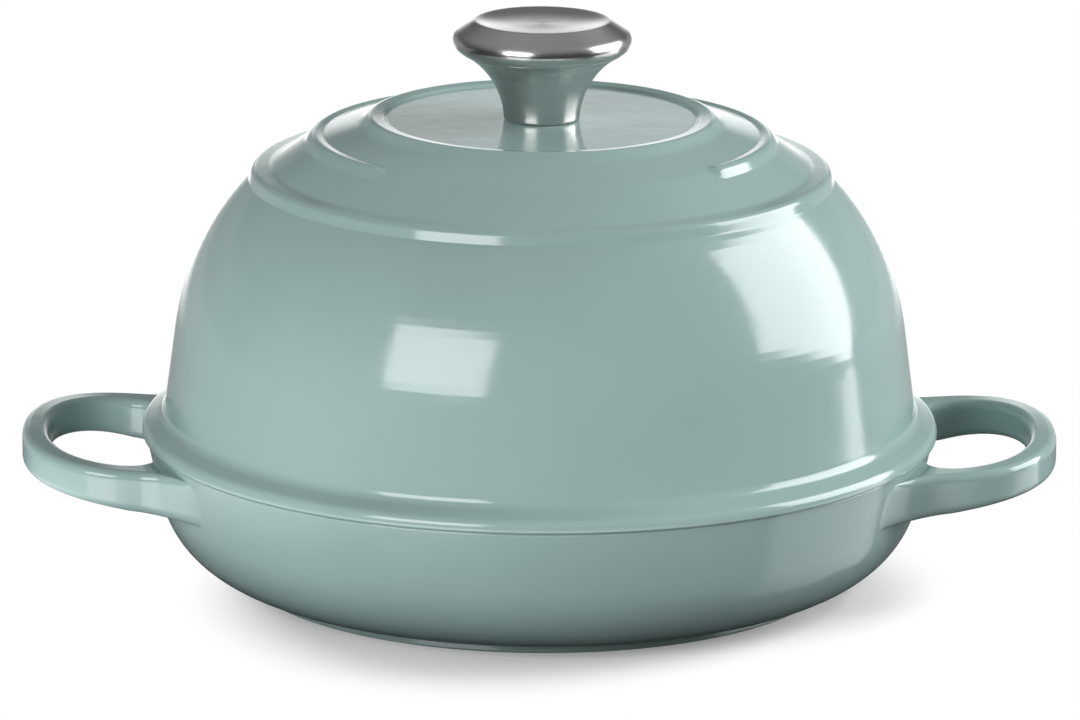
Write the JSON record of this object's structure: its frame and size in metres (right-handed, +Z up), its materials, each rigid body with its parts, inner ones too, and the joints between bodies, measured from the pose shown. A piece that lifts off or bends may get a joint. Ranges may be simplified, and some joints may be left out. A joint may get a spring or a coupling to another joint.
{
  "type": "bread cloche",
  "caption": "Round enamelled cast-iron bread cloche: shallow pan with loop side handles and a deep domed lift-off lid with raised rings and a flared steel knob.",
  "frame": {"origin": "on the table under the pan's centre, in the plane that the foot ring stands on", "axes": "+Z up along the axis of the pan, the lid and the knob; +X through the middle of one loop handle; -Y towards the gap in the lid's middle ring"},
  "size_m": [0.3252, 0.25, 0.1777],
  "materials": {
    "enamel": "glossy grey-green enamel outside, satin black enamel inside",
    "knob_steel": "turned and polished stainless steel",
    "insert_brass": "plain turned brass",
    "fastener_steel": "plain stainless steel"
  },
  "bodies": {
    "base": {"base_pan": "enamel"},
    "lid": {"dome_lid": "enamel", "knob_neck": "knob_steel", "knob_cap": "knob_steel", "knob_insert": "insert_brass", "knob_screw": "fastener_steel", "flat_washer": "fastener_steel", "spring_washer": "fastener_steel"}
  },
  "joints": [
    {"name": "lid_lift", "type": "slide", "parent": "base", "child": "lid", "axis": [0, 0, 1], "range_m": [0, 0.2]}
  ]
}
